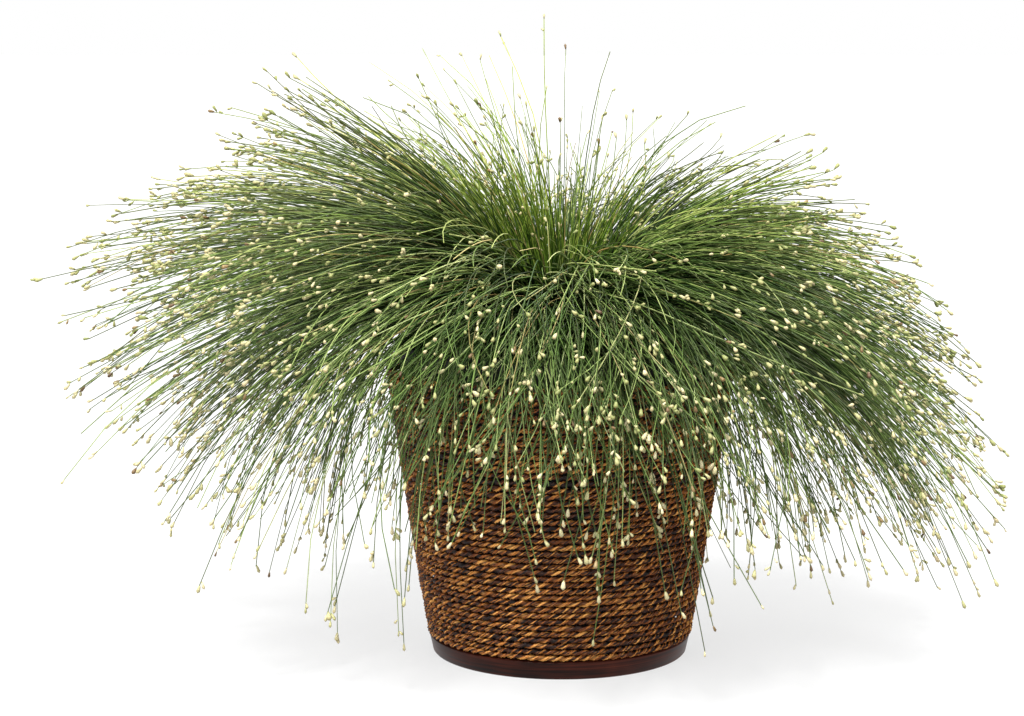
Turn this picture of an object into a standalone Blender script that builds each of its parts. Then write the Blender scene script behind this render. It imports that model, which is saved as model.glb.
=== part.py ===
"""Potted fiber optic grass: a fountain of thin arching stems in a nursery pot, set in a rope basket.

Metres, +Z up. The origin is the centre of the basket's underside, and the front of the basket faces -Y.
The stems are far too many and too thin for solids, so each solid here is one tuft of stems, from the soil
to the stems' tips.
"""

import collections
import math
import random

import bpy

# Basket
BASKET_HEIGHT = 0.1466
ROPE_FOOT_RADIUS = 0.0673
ROPE_RIM_RADIUS = 0.0882
ROPE_BULGE = 0.0006
ROPE_THICKNESS = 0.0036
ROPE_COURSES = 43
COURSE_GROOVE = 0.0010
BAND_HEIGHT = 0.0092
BAND_FOOT_RADIUS = 0.0646
BAND_TOP_RADIUS = 0.0664
BAND_THICKNESS = 0.0030
PANEL_THICKNESS = 0.0050

# Nursery pot and soil
LINER_FOOT_RADIUS = 0.0570
LINER_RIM_RADIUS = 0.0815
LINER_LIP = 0.0020
LINER_LIP_HEIGHT = 0.0060
LINER_HEIGHT = 0.1530
LINER_WALL = 0.0012
SOIL_TOP = 0.1460

# Clearance between pieces that touch
GAP = 0.0003

# The fountain of stems is a fan. Its arcs run from share 0, the stems that hang round the basket, to share 1,
# the ones that rise highest. Each row gives what holds at shares 0, 1/4, 1/2, 3/4 and 1.
# Where the arcs end on each side, as radius and height:
TIPS = {
    "right": ((0.108, 0.024), (0.178, 0.036), (0.239, 0.074), (0.220, 0.164), (0.136, 0.260)),
    "back": ((0.108, 0.058), (0.158, 0.088), (0.208, 0.136), (0.198, 0.198), (0.110, 0.244)),
    "left": ((0.114, 0.028), (0.194, 0.055), (0.279, 0.122), (0.260, 0.212), (0.150, 0.302)),
    "front": ((0.106, 0.044), (0.146, 0.074), (0.188, 0.118), (0.178, 0.170), (0.100, 0.222)),
}
# Where they root, which way they leave the soil and how far they keep to it:
ROOT_RADII = (0.045, 0.037, 0.029, 0.020, 0.012)
LAUNCH_DEGREES = (66.0, 70.0, 75.0, 80.0, 85.0)
LAUNCH_LENGTHS = (0.062, 0.072, 0.085, 0.100, 0.115)
# How far their last leg hangs below the line from the bend to the tip, and its length as a share of the way:
DROOP_DEGREES = (14.0, 18.0, 20.0, 20.0, 28.0)
LEG_SHARES = (0.80, 0.62, 0.50, 0.50, 0.50)
BEND = (0.062, 0.205)
# How much of the launch the highest arcs have on each side:
LAUNCH_RISE = {"right": 0.90, "back": 0.88, "left": 1.00, "front": 0.72}

# Upright stems over the crown: the four control points of the innermost and the outermost arc, and how much
# of that rise above the soil they have on each side
UPRIGHT_INNER = ((0.0015, SOIL_TOP), (0.0030, 0.2060), (0.0120, 0.2700), (0.0360, 0.3300))
UPRIGHT_OUTER = ((0.0085, SOIL_TOP), (0.0150, 0.2260), (0.0460, 0.2960), (0.1200, 0.3180))
UPRIGHT_RISE = {"right": 0.86, "back": 0.96, "left": 1.00, "front": 0.80}

# Layers of tufts. Each tuft has a sector of its own round the crown: the layer has count sectors, the first
# one turned by a part of a sector, and a tuft fills its sector to the layer's fullness. Its arcs run from one
# share of the fan to another, or from the outermost to the innermost upright arc. Its length varies, from the
# layer's shortest to the full arc.
Layer = collections.namedtuple("Layer", "name count turn fullness from_share to_share shortest")
UPRIGHT = Layer("upright", 6, 0.30, 0.50, 0.00, 1.00, 0.86)
ARCHING = Layer("arching", 12, 0.00, 1.00, 0.78, 1.00, 0.94)
SPREADING = Layer("spreading", 12, 0.50, 1.00, 0.53, 0.74, 0.94)
DROOPING = Layer("drooping", 11, 0.50, 1.00, 0.27, 0.49, 0.94)
TRAILING = Layer("trailing", 11, 0.00, 1.00, 0.00, 0.23, 0.88)

# Shape of one tuft: where its rings stand along the arc, and how much of its own room each ring fills.
# A section and the three points in which a tuft ends are given across and up in that room, from -1 to 1.
RING_PLACES = (0.0, 0.13, 0.28, 0.44, 0.60, 0.75)
RING_WIDTHS = (0.80, 0.85, 0.90, 0.90, 0.84, 0.70)
RING_DEPTHS = (0.76, 0.80, 0.86, 0.86, 0.78, 0.60)
SECTION = ((-1.00, 0.10), (-0.50, -0.80), (0.45, -1.00), (1.00, -0.20), (0.50, 0.80), (-0.40, 1.00))
POINTS = ((-0.80, 0.10), (0.25, -0.70), (0.45, 0.85))
POINT_SHORTENING = (0.03, 0.05, 0.0)

ROUND_SEGMENTS = 28
SEED = 7


def clear_scene():
    for old in list(bpy.data.objects):
        bpy.data.objects.remove(old, do_unlink=True)


def material(name, colour, roughness, metallic=0.0):
    made = bpy.data.materials.new(name)
    made.use_nodes = True
    shader = made.node_tree.nodes["Principled BSDF"]
    shader.inputs["Base Color"].default_value = (*colour, 1.0)
    shader.inputs["Roughness"].default_value = roughness
    shader.inputs["Metallic"].default_value = metallic
    return made


def add_object(name, points, faces, finish, crease_degrees=50.0):
    mesh = bpy.data.meshes.new(name)
    mesh.from_pydata(points, [], faces)
    mesh.validate()
    mesh.materials.append(finish)
    mesh.shade_smooth()
    mesh.set_sharp_from_angle(angle=math.radians(crease_degrees))
    made = bpy.data.objects.new(name, mesh)
    bpy.context.scene.collection.objects.link(made)
    return made


def bridge(first, second):
    """Quads between two rings of as many points, facing out where the rings run anticlockwise upwards."""
    count = len(first)
    return [(first[i], first[(i + 1) % count], second[(i + 1) % count], second[i]) for i in range(count)]


def turned(name, profile, finish, closed_loop):
    """A profile of (radius, height), up its outer side, turned round Z. A closed loop makes a hollow ring."""
    points = []
    rings = []
    for radius, height in profile:
        start = len(points)
        for i in range(ROUND_SEGMENTS):
            angle = 2 * math.pi * i / ROUND_SEGMENTS
            points.append((radius * math.cos(angle), radius * math.sin(angle), height))
        rings.append(list(range(start, start + ROUND_SEGMENTS)))
    faces = []
    for lower, upper in zip(rings, rings[1:]):
        faces += bridge(lower, upper)
    if closed_loop:
        faces += bridge(rings[-1], rings[0])
    else:
        faces.append(tuple(reversed(rings[0])))
        faces.append(tuple(rings[-1]))
    return add_object(name, points, faces, finish)


def basket_radius(height):
    """Outer radius of the rope wall, at the crest of a course."""
    share = (height - BAND_HEIGHT) / (BASKET_HEIGHT - BAND_HEIGHT)
    straight = ROPE_FOOT_RADIUS + (ROPE_RIM_RADIUS - ROPE_FOOT_RADIUS) * share
    return straight + 4 * ROPE_BULGE * share * (1 - share)


def make_rope_wall(finish):
    """One rope laid round and round: each course is a ridge, with a groove above and below it."""
    bottom = BAND_HEIGHT + GAP
    pitch = (BASKET_HEIGHT - bottom) / ROPE_COURSES
    profile = [(basket_radius(bottom) - COURSE_GROOVE, bottom)]
    for course in range(ROPE_COURSES):
        crest = bottom + pitch * (course + 0.5)
        groove = bottom + pitch * (course + 1)
        profile.append((basket_radius(crest), crest))
        profile.append((basket_radius(groove) - COURSE_GROOVE, groove))
    profile.append((basket_radius(BASKET_HEIGHT) - ROPE_THICKNESS, BASKET_HEIGHT))
    profile.append((basket_radius(bottom) - ROPE_THICKNESS, bottom))
    return turned("rope_wall", profile, finish, closed_loop=True)


def make_foot_band(finish):
    profile = [
        (BAND_FOOT_RADIUS, 0.0),
        (BAND_TOP_RADIUS, BAND_HEIGHT),
        (BAND_TOP_RADIUS - BAND_THICKNESS, BAND_HEIGHT),
        (BAND_FOOT_RADIUS - BAND_THICKNESS, 0.0),
    ]
    return turned("foot_band", profile, finish, closed_loop=True)


def make_base_panel(finish):
    radius = BAND_FOOT_RADIUS - BAND_THICKNESS - GAP
    return turned("base_panel", [(radius, 0.0), (radius, PANEL_THICKNESS)], finish, closed_loop=False)


def liner_radius(height):
    """Outer radius of the nursery pot below its lip."""
    foot = PANEL_THICKNESS + GAP
    share = (height - foot) / (LINER_HEIGHT - foot)
    return LINER_FOOT_RADIUS + (LINER_RIM_RADIUS - LINER_FOOT_RADIUS) * share


def make_liner_pot(finish):
    foot = PANEL_THICKNESS + GAP
    top = LINER_HEIGHT + LINER_LIP_HEIGHT
    lip = LINER_RIM_RADIUS + LINER_LIP
    profile = [
        (liner_radius(foot), foot),
        (LINER_RIM_RADIUS, LINER_HEIGHT),
        (lip, LINER_HEIGHT),
        (lip, top),
        (liner_radius(top) - LINER_WALL, top),
        (liner_radius(foot + LINER_WALL) - LINER_WALL, foot + LINER_WALL),
    ]
    return turned("liner_pot", profile, finish, closed_loop=False)


def make_soil(finish):
    bottom = PANEL_THICKNESS + GAP + LINER_WALL + GAP
    clearance = LINER_WALL + GAP
    profile = [
        (liner_radius(bottom) - clearance, bottom),
        (liner_radius(SOIL_TOP) - clearance, SOIL_TOP),
    ]
    return turned("soil", profile, finish, closed_loop=False)


def on_side(azimuth, sizes):
    """A size given for the four sides, blended smoothly round the plant."""
    across, along = math.cos(azimuth), math.sin(azimuth)
    side = sizes["right"] if across > 0 else sizes["left"]
    end = sizes["back"] if along > 0 else sizes["front"]
    return side * across**2 + end * along**2


def at_share(row, share):
    """What holds at a share of the fan, from the row of what holds at equal steps."""
    place = share * (len(row) - 1)
    index = min(int(place), len(row) - 2)
    return row[index] + (row[index + 1] - row[index]) * (place - index)


def fan_tip(azimuth, share):
    radii = {side: at_share([tip[0] for tip in tips], share) for side, tips in TIPS.items()}
    heights = {side: at_share([tip[1] for tip in tips], share) for side, tips in TIPS.items()}
    return on_side(azimuth, radii), on_side(azimuth, heights)


def fan_arc(azimuth, share):
    """Control points (radius, height) of an arc of the fan: share 0 hangs lowest and 1 rises highest."""
    tip = fan_tip(azimuth, share)
    root = (at_share(ROOT_RADII, share), SOIL_TOP)
    launch = math.radians(at_share(LAUNCH_DEGREES, share))
    rise = at_share(LAUNCH_LENGTHS, share) * (1 + (on_side(azimuth, LAUNCH_RISE) - 1) * share)
    first = (root[0] + rise * math.cos(launch), root[1] + rise * math.sin(launch))
    droop = math.radians(at_share(DROOP_DEGREES, share))
    heading = math.atan2(tip[1] - BEND[1], tip[0] - BEND[0]) - droop
    leg = at_share(LEG_SHARES, share) * math.dist(first, tip)
    second = (tip[0] - leg * math.cos(heading), tip[1] - leg * math.sin(heading))
    return [root, first, second, tip]


def upright_arc(azimuth, share):
    """An arc over the crown: share 0 is the outermost and 1 is the innermost."""
    rise = on_side(azimuth, UPRIGHT_RISE)
    arc = []
    for outer, inner in zip(UPRIGHT_OUTER, UPRIGHT_INNER):
        radius = outer[0] + (inner[0] - outer[0]) * share
        height = outer[1] + (inner[1] - outer[1]) * share
        arc.append((radius, SOIL_TOP + rise * (height - SOIL_TOP)))
    return arc


def point_on(arc, place):
    """Point of a cubic arc, as (radius, height)."""
    back = 1 - place
    weights = (back**3, 3 * back**2 * place, 3 * back * place**2, place**3)
    radius = sum(weight * point[0] for weight, point in zip(weights, arc))
    height = sum(weight * point[1] for weight, point in zip(weights, arc))
    return radius, height + GAP


def tuft_point(arc_of, azimuth, share, place):
    radius, height = point_on(arc_of(azimuth, share), place)
    return radius * math.cos(azimuth), radius * math.sin(azimuth), height


def make_tuft(name, finish, arc_of, azimuth, half_width, layer, length):
    """A tuft that fills its own sector and its own span of arcs, and ends in three points."""
    middle = (layer.from_share + layer.to_share) / 2
    half_span = (layer.to_share - layer.from_share) / 2

    def place_point(across, up, place):
        return tuft_point(arc_of, azimuth + half_width * across, middle + half_span * up, place * length)

    points = []
    rings = []
    for place, width, depth in zip(RING_PLACES, RING_WIDTHS, RING_DEPTHS):
        rings.append([len(points) + i for i in range(len(SECTION))])
        points += [place_point(across * width, up * depth, place) for across, up in SECTION]
    faces = [tuple(reversed(rings[0]))]
    for lower, upper in zip(rings, rings[1:]):
        faces += bridge(lower, upper)

    last = rings[-1]
    fork = len(points)
    points.append(place_point(0.0, 0.0, RING_PLACES[-1]))
    for index, ((across, up), shortening) in enumerate(zip(POINTS, POINT_SHORTENING)):
        tip = len(points)
        points.append(place_point(across, up, 1.0 - shortening))
        a, b, c = last[2 * index - 1], last[2 * index], last[2 * index + 1]
        faces += [(a, b, tip), (b, c, tip), (c, fork, tip), (fork, a, tip)]
    return add_object(name, points, faces, finish)


def make_layer(layer, finish, arc_of, draws):
    """A ring of tufts round the crown, each in its own sector."""
    sector = 2 * math.pi / layer.count
    for index in range(layer.count):
        azimuth = sector * (index + layer.turn)
        length = draws.uniform(layer.shortest, 1.0)
        name = f"{layer.name}_tuft_{index + 1:02d}"
        make_tuft(name, finish, arc_of, azimuth, layer.fullness * sector / 2, layer, length)


def main():
    clear_scene()
    rope = material("twisted_rope", (0.16, 0.072, 0.030), 0.42)
    wood = material("stained_wood", (0.085, 0.022, 0.012), 0.38)
    plastic = material("grey_plastic", (0.022, 0.025, 0.032), 0.48)
    soil = material("potting_soil", (0.030, 0.020, 0.013), 0.95)
    grass = material("green_stems", (0.115, 0.215, 0.058), 0.50)
    light_grass = material("light_green_stems", (0.235, 0.330, 0.095), 0.50)

    make_foot_band(wood)
    make_base_panel(wood)
    make_rope_wall(rope)
    make_liner_pot(plastic)
    make_soil(soil)

    draws = random.Random(SEED)
    make_layer(UPRIGHT, light_grass, upright_arc, draws)
    for layer in (ARCHING, SPREADING, DROOPING, TRAILING):
        make_layer(layer, grass, fan_arc, draws)


main()
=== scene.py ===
"""Looks of the potted fiber optic grass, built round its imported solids. Metres, +Z up, front towards -Y."""

import collections
import math
import random

import bpy
import numpy as np
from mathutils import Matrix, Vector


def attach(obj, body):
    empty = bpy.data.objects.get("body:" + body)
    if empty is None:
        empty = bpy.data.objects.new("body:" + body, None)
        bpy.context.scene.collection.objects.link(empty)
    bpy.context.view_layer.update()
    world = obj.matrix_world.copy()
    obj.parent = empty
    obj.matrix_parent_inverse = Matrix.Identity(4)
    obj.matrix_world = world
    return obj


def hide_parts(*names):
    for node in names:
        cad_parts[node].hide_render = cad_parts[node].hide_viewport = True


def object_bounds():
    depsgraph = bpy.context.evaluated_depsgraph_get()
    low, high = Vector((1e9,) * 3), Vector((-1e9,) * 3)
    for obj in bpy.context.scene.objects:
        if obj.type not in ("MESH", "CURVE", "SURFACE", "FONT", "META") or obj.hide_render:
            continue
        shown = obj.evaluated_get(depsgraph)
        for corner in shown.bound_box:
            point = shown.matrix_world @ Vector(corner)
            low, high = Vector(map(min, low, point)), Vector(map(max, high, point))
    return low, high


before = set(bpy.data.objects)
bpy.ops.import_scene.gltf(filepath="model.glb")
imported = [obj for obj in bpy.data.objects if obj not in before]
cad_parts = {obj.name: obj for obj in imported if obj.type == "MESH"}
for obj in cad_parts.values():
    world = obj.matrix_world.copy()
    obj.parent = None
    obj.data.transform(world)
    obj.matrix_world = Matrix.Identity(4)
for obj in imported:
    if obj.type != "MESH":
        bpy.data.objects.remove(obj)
cad_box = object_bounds()

# Basket, as in the solids
BASKET_HEIGHT = 0.1466
ROPE_FOOT_RADIUS = 0.0673
ROPE_RIM_RADIUS = 0.0882
ROPE_BULGE = 0.0006
ROPE_COURSES = 43
BAND_HEIGHT = 0.0092
BAND_FOOT_RADIUS = 0.0646
BAND_TOP_RADIUS = 0.0664
BAND_THICKNESS = 0.0030
PANEL_THICKNESS = 0.0050

# Nursery pot and soil, as in the solids
LINER_FOOT_RADIUS = 0.0570
LINER_RIM_RADIUS = 0.0815
LINER_LIP = 0.0020
LINER_LIP_HEIGHT = 0.0060
LINER_HEIGHT = 0.1530
LINER_WALL = 0.0012
SOIL_TOP = 0.1460
GAP = 0.0003

# Fan of stems, near the solids' fan and fitted to the photo's edge. Each row gives what holds at shares
# 0, 1/4, 1/2, 3/4 and 1: share 0 hangs lowest and share 1 rises highest.
# Radius and height of the tips on each side:
TIPS = {
    "right": ((0.116, 0.020), (0.188, 0.036), (0.230, 0.068), (0.206, 0.168), (0.132, 0.260)),
    "back": ((0.108, 0.058), (0.158, 0.088), (0.208, 0.136), (0.198, 0.198), (0.110, 0.244)),
    "left": ((0.118, 0.036), (0.188, 0.060), (0.263, 0.126), (0.260, 0.205), (0.138, 0.299)),
    "front": ((0.105, 0.040), (0.146, 0.070), (0.186, 0.110), (0.176, 0.148), (0.116, 0.196)),
}
# Radius at the soil, and the slope and length of the first leg:
ROOT_RADII = (0.045, 0.037, 0.029, 0.020, 0.012)
LAUNCH_DEGREES = (66.0, 69.0, 72.0, 74.0, 76.0)
LAUNCH_LENGTHS = (0.062, 0.070, 0.080, 0.088, 0.092)
# How far the last leg heads below the line from the bend to the tip, and its share of the way:
DROOP_DEGREES = (14.0, 17.0, 17.0, 15.0, 13.0)
LEG_SHARES = (0.80, 0.62, 0.50, 0.50, 0.50)
BEND = (0.062, 0.205)
# What is left of the first leg of the highest arcs on each side:
LAUNCH_RISE = {"right": 0.90, "back": 0.88, "left": 1.00, "front": 0.72}

# Upright stems: control points of the innermost and outermost arc, and how much they rise on each side
UPRIGHT_INNER = ((0.0015, SOIL_TOP), (0.0030, 0.2060), (0.0120, 0.2700), (0.0360, 0.3300))
UPRIGHT_OUTER = ((0.0085, SOIL_TOP), (0.0200, 0.2160), (0.0560, 0.2740), (0.1250, 0.3060))
UPRIGHT_RISE = {"right": 0.86, "back": 0.96, "left": 1.00, "front": 0.80}

# Layers of tufts. Count to shortest are as in the solids. The rest is the scene's: stems in a tuft,
# rings in a stem, the shortest stem as a share of its tuft, and the lift of a short stem, in degrees.
Layer = collections.namedtuple(
    "Layer",
    "name count turn fullness from_share to_share shortest stems rings short_stem lift",
)
UPRIGHT = Layer("upright", 6, 0.30, 0.50, 0.00, 1.00, 0.86, 30, 9, 0.36, 0.0)
ARCHING = Layer("arching", 12, 0.00, 1.00, 0.78, 1.00, 0.94, 98, 14, 0.58, 16.0)
SPREADING = Layer("spreading", 12, 0.50, 1.00, 0.53, 0.74, 0.94, 104, 14, 0.52, 16.0)
DROOPING = Layer("drooping", 11, 0.50, 1.00, 0.27, 0.49, 0.94, 92, 12, 0.48, 14.0)
TRAILING = Layer("trailing", 11, 0.00, 1.00, 0.00, 0.23, 0.88, 66, 12, 0.50, 5.0)
HANGING = (DROOPING, TRAILING)

# Stems in a tuft, as a share of its layer's number: everywhere, and what each side adds
STEM_SHARES = {
    "upright": (1.00, {"left": 1.70, "right": 0.35}),
    "arching": (0.92, {"right": 0.48, "left": 0.60, "front": -0.22}),
    "spreading": (0.92, {"right": 0.54, "left": 0.52, "front": 0.10}),
    "drooping": (0.92, {"right": 0.64, "left": 0.50, "front": -0.04, "back": -0.12}),
    "trailing": (1.00, {"right": -0.14, "left": -0.38, "front": -0.28, "back": -0.30}),
}

# Values named IN_FRONT, LEFT or RIGHT are added towards that side.

# Bunches of stems that lie together. A tuft's room reaches from -1 to 1, both across and up.
STEMS_PER_BUNCH = 12
FEWEST_BUNCHES = 3
BUNCHED_SHARE = 0.60
BUNCHED_SHARE_UPRIGHT = 0.30
BUNCH_ROOM = (-1.1, 1.1)
SINGLE_ROOM = (-1.2, 1.2)
BUNCH_WIDTH = 0.14
BUNCH_DEPTH = 0.16
BUNCH_LENGTHS = (0.80, 1.06)
LENGTHS_IN_BUNCH = (0.90, 1.00)
BUNCH_TONES = (-0.34, 0.26)
TONES_IN_BUNCH = (0.1, 0.8)

# Tones of stems: from 0 to GREEN_TONES green, dark to light with few between, and then pale or dry
GREEN_TONES = 0.93
MIDDLE_TONE = 0.465
TONE_CONTRAST = 0.6
# Painted shade: how much darker the tones of stems facing the front are made
PAINTED_SHADE_IN_FRONT = 0.07
BENT_TONES = (0.925, 0.955)

# Lengths of the fan's stems, as shares of their arcs
LONG_SHARE = 0.84
LONG_SHARE_IN_FRONT = 0.12
LONG_LENGTHS = (0.78, 1.02)
LONGEST_SHORT = 0.90
LONGEST_SHARE = {"drooping": 0.03, "trailing": 0.09}
LONGEST_LENGTHS = (0.99, 1.09)

# Upright stems: most are short and stand outside, and a few are tall and lean anywhere
OUTWARD_POWER = 2.1
OUTWARD_POWER_RIGHT = -1.1
TALLER = 0.06
TALLER_LEFT = 0.10
LONGEST_UPRIGHT = 0.95
LENGTH_CURVE = (1.1, 2.4)
TALL_SHARE = 0.07
TALL_SHARE_RIGHT = 0.03
TALL_LENGTHS = (0.80, 1.06)
TALL_LEAN = 0.6

# Short pale stems over the crown that bend down sharply
BENT_SHARE = 0.03
BENT_SHARE_IN_FRONT = 0.04
BENT_LENGTHS = (0.55, 0.85)
BENT_DROPS = (0.014, 0.040)
KNEE_RADII = (0.72, 0.90)
KNEE_HEIGHTS = (0.026, 0.042)

# How stems stray from their arcs. Rows run over the control points towards the tip.
LIFT_STRAY = 0.09
ASTRAY_SHARE = 0.06
ASTRAY_TURN = 0.34
ROOT_TURN = 0.55
ROOT_TURN_KEPT = 0.3
TURN_STRAY = (0.07, 0.09, 0.08)
STRAY_IN_FRONT = 0.9
RADIUS_STRAY = (0.006, 0.005, 0.006, 0.005)
HEIGHT_STRAY = (0.0, 0.006, 0.007, 0.005)
LOOSENESS_UPRIGHT = 2.2
ROOT_DEPTH = 0.002
LOWEST_TIP = 0.013
LOWEST_TIP_IN_FRONT = 0.020
REACH_PAST_SOLIDS = np.array((0.008, 0.008, 0.003))

# Room that stems leave to the pot and basket, and how arcs that cut in are moved
ROOM_OVER_RIM = 0.002
ROOM_OUTSIDE_LIP = 0.0015
ROOM_OUTSIDE_ROPE = 0.0026
ROOM_INSIDE_RIM = 0.010
CLEARING_TRIES = 6
CLEARING_RISE = 0.006
CLEARING_SPREAD = 1.04
CLEARING_TIP_SPREAD = 1.03
ARC_CHECKS = 40
TINY = 1e-9

# Stems
STEM_SIDES = 3
ROOT_RADIUS = 0.00043
TIP_RADIUS = 0.00025
TAPER_POWER = 1.5
STEM_POINT = 0.0006
THICKNESSES = (0.8, 1.2)
THICKNESS_UPRIGHT = 0.85
WAVE_LENGTHS = (0.09, 0.16)
WAVE_HEIGHTS = (0.0002, 0.0013)

# Seed heads
HEAD_LENGTH = 0.0043
HEAD_RADIUS = 0.00086
HEAD_SIDES = 5
HEAD_RINGS = ((0.32, 0.66), (0.78, 1.00))
HEAD_SIZES = (0.66, 1.20)
HEAD_SIZE_UPRIGHT = 0.80
HEAD_FATNESS = (0.85, 1.2)
MOST_LEAN = 1.0
# What a first, second and third head takes of its random lean, and how far below the tip they sit:
HEAD_LEANS = (0.5, 1.0, 1.2)
FIRST_HEAD_DEPTHS = (0.0002, 0.0010)
NEXT_HEAD_DEPTHS = (0.0004, 0.0070)
# A stem has a second or third head when its draw, times the spacing, is below these:
CLUSTER_DRAWS = (0.62, 0.30)
CLUSTER_SPACING = 0.8
CLUSTER_SPACING_IN_FRONT = 1.2
CLUSTER_SPACING_UPRIGHT = 1.2
# Stems that flower: over the crown by their reach, and hanging ones by their height in front:
FLOWERING_UPRIGHT = 0.50
FLOWERING_LEAST = 0.08
FLOWERING_FROM_RADIUS = 0.082
FLOWERING_SPAN = 0.090
FEWER_IN_FRONT = 0.15
FEWER_HALFWAY = 0.50
HALFWAY_FROM = 0.075
HALFWAY_SPAN = 0.050
# Tones of heads, as start and span, up to PALE_TONES, past which a head is brown:
HANGING_HEAD_TONES = (0.42, 0.54)
UPPER_HEAD_TONES = (0.10, 0.76)
PALE_TONES = 0.96

# Rope
ROPE_RADIUS = 0.00168
ROPE_TURN_LENGTH = 0.0098
ROPE_STEPS_PER_TURN = 6
ROPE_PROFILE = (1.03, 0.86, 0.44, 0.86, 1.03, 0.86, 0.44, 0.86)
ROPE_PIECES = 3
STEP_SHARE = 0.05
COURSE_SAG = 0.0011
SAG_TURN = 0.6
# Strays of the rope: spacing and margin of their knots, sizes, and how many steps apart they lie
WOBBLE_KNOTS = (0.012, 0.02)
WOBBLE_RADIUS = 0.00016
WOBBLE_HEIGHT = 0.00014
WOBBLE_THICKNESS = 0.05
HEIGHT_SHIFT = 37
THICKNESS_SHIFT = 91
TWIST_KNOTS = (0.15, 0.2)
TWIST_STRAY = 0.10
THINNEST_END = 0.15
LAST_END_SHARE = 0.6

# Turned parts
SOFT_EDGE = 0.0006
SHARP_EDGE = math.radians(50)
TURNED_SEGMENTS = 120
SOIL_SEGMENTS = 96
SOIL_RINGS = 26
SOIL_SINK = 0.0006
SOIL_ROUGHNESS = 0.0007
SOIL_LUMPS = (-0.0015, 0.0012)

# Colours: dark, middle and light stems and their tips, then dry stems
WHITE = (1.0, 1.0, 1.0)
GREEN_STEMS = ((0.001, 0.007, 0.001), (0.008, 0.035, 0.005), (0.070, 0.126, 0.024), (0.216, 0.268, 0.088))
# Upright stems: lighter colours, painted light shining through them
BACKLIT_STEMS = ((0.010, 0.034, 0.003), (0.038, 0.090, 0.008), (0.100, 0.172, 0.020), (0.180, 0.240, 0.045))
DRY_STEMS = (
    (0.95, (0.300, 0.350, 0.160)),
    (0.975, (0.170, 0.120, 0.040)),
    (1.00, (0.330, 0.280, 0.130)),
)
# Painted shade at the stems' bases: the share of their colour left at the foot
GREEN_BASE_SHADE = 0.14
# Upright stems keep most of their colour at the base, for the painted light shining through them:
BACKLIT_BASE_SHADE = 0.70

# Camera and light. Suns have a name, where they come from, softness in degrees and strength.
CAMERA_PLACE = (-0.0243, -1.208, 0.3125)
CAMERA_DOWN = 7.7
CAMERA_LENS = 84.97
FLOOR_SIDE = 60.0
FLOOR_SHADE = 0.14
FLOOR_GLOW = 0.69
SUNS = (
    ("key", (-0.22, -0.78, 1.60), 9.0, 7.8),
    ("fill_right", (1.0, -0.9, 1.1), 25.0, 0.8),
    ("fill_left", (-1.0, -0.6, 0.5), 30.0, 1.0),
    ("back", (0.2, 1.0, 1.1), 30.0, 1.6),
)

# Seeds: the tufts' lengths are drawn as in the solids
TUFT_LENGTH_SEED = 7
SEED = 59
draws = np.random.default_rng(SEED)


# Helpers for nodes, meshes and pieces


def set_inputs(tree, node, inputs):
    """Sets a node's inputs to values, or links them to other nodes' outputs."""
    for key, value in inputs.items():
        if isinstance(value, bpy.types.NodeSocket):
            tree.links.new(value, node.inputs[key])
        else:
            node.inputs[key].default_value = value


def add_node(tree, kind, inputs=None, **settings):
    node = tree.nodes.new(kind)
    for key, value in settings.items():
        setattr(node, key, value)
    set_inputs(tree, node, inputs or {})
    return node


def attribute(tree, name, output="Fac"):
    return add_node(tree, "ShaderNodeAttribute", attribute_name=name).outputs[output]


def object_place(tree):
    return add_node(tree, "ShaderNodeTexCoord").outputs["Object"]


def height_of(tree, place):
    return add_node(tree, "ShaderNodeSeparateXYZ", {"Vector": place}).outputs["Z"]


def calculate(tree, operation, *values, clamp=False):
    inputs = dict(enumerate(values))
    return add_node(tree, "ShaderNodeMath", inputs, operation=operation, use_clamp=clamp).outputs[0]


def noise(tree, vector, scale, detail=3.0, roughness=0.55, distortion=0.0):
    inputs = {
        "Vector": vector,
        "Scale": scale,
        "Detail": detail,
        "Roughness": roughness,
        "Distortion": distortion,
    }
    return add_node(tree, "ShaderNodeTexNoise", inputs).outputs["Fac"]


def stretched(tree, vector, scale):
    return add_node(tree, "ShaderNodeMapping", {"Vector": vector, "Scale": scale}).outputs["Vector"]


def ramp(tree, factor, stops):
    node = add_node(tree, "ShaderNodeValToRGB", {"Fac": factor})
    elements = node.color_ramp.elements
    while len(elements) < len(stops):
        elements.new(0.5)
    for element, (place, colour) in zip(elements, stops):
        element.position = place
        element.color = (*colour, 1.0)
    return node.outputs["Color"]


def grey(level):
    return (level, level, level)


def mixed(tree, factor, first, second, blend_type="MIX"):
    node = add_node(tree, "ShaderNodeMix", data_type="RGBA", blend_type=blend_type)
    inputs = {i.identifier: i for i in node.inputs}
    for identifier, value in (("Factor_Float", factor), ("A_Color", first), ("B_Color", second)):
        if isinstance(value, bpy.types.NodeSocket):
            tree.links.new(value, inputs[identifier])
        elif isinstance(value, tuple):
            inputs[identifier].default_value = (*value, 1.0)
        else:
            inputs[identifier].default_value = value
    return {o.identifier: o for o in node.outputs}["Result_Color"]


def bumped(tree, height, strength, distance):
    inputs = {"Height": height, "Strength": strength, "Distance": distance}
    return add_node(tree, "ShaderNodeBump", inputs).outputs["Normal"]


def new_material(name):
    made = bpy.data.materials.new(name)
    made.use_nodes = True
    return made, made.node_tree, made.node_tree.nodes["Principled BSDF"]


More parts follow.
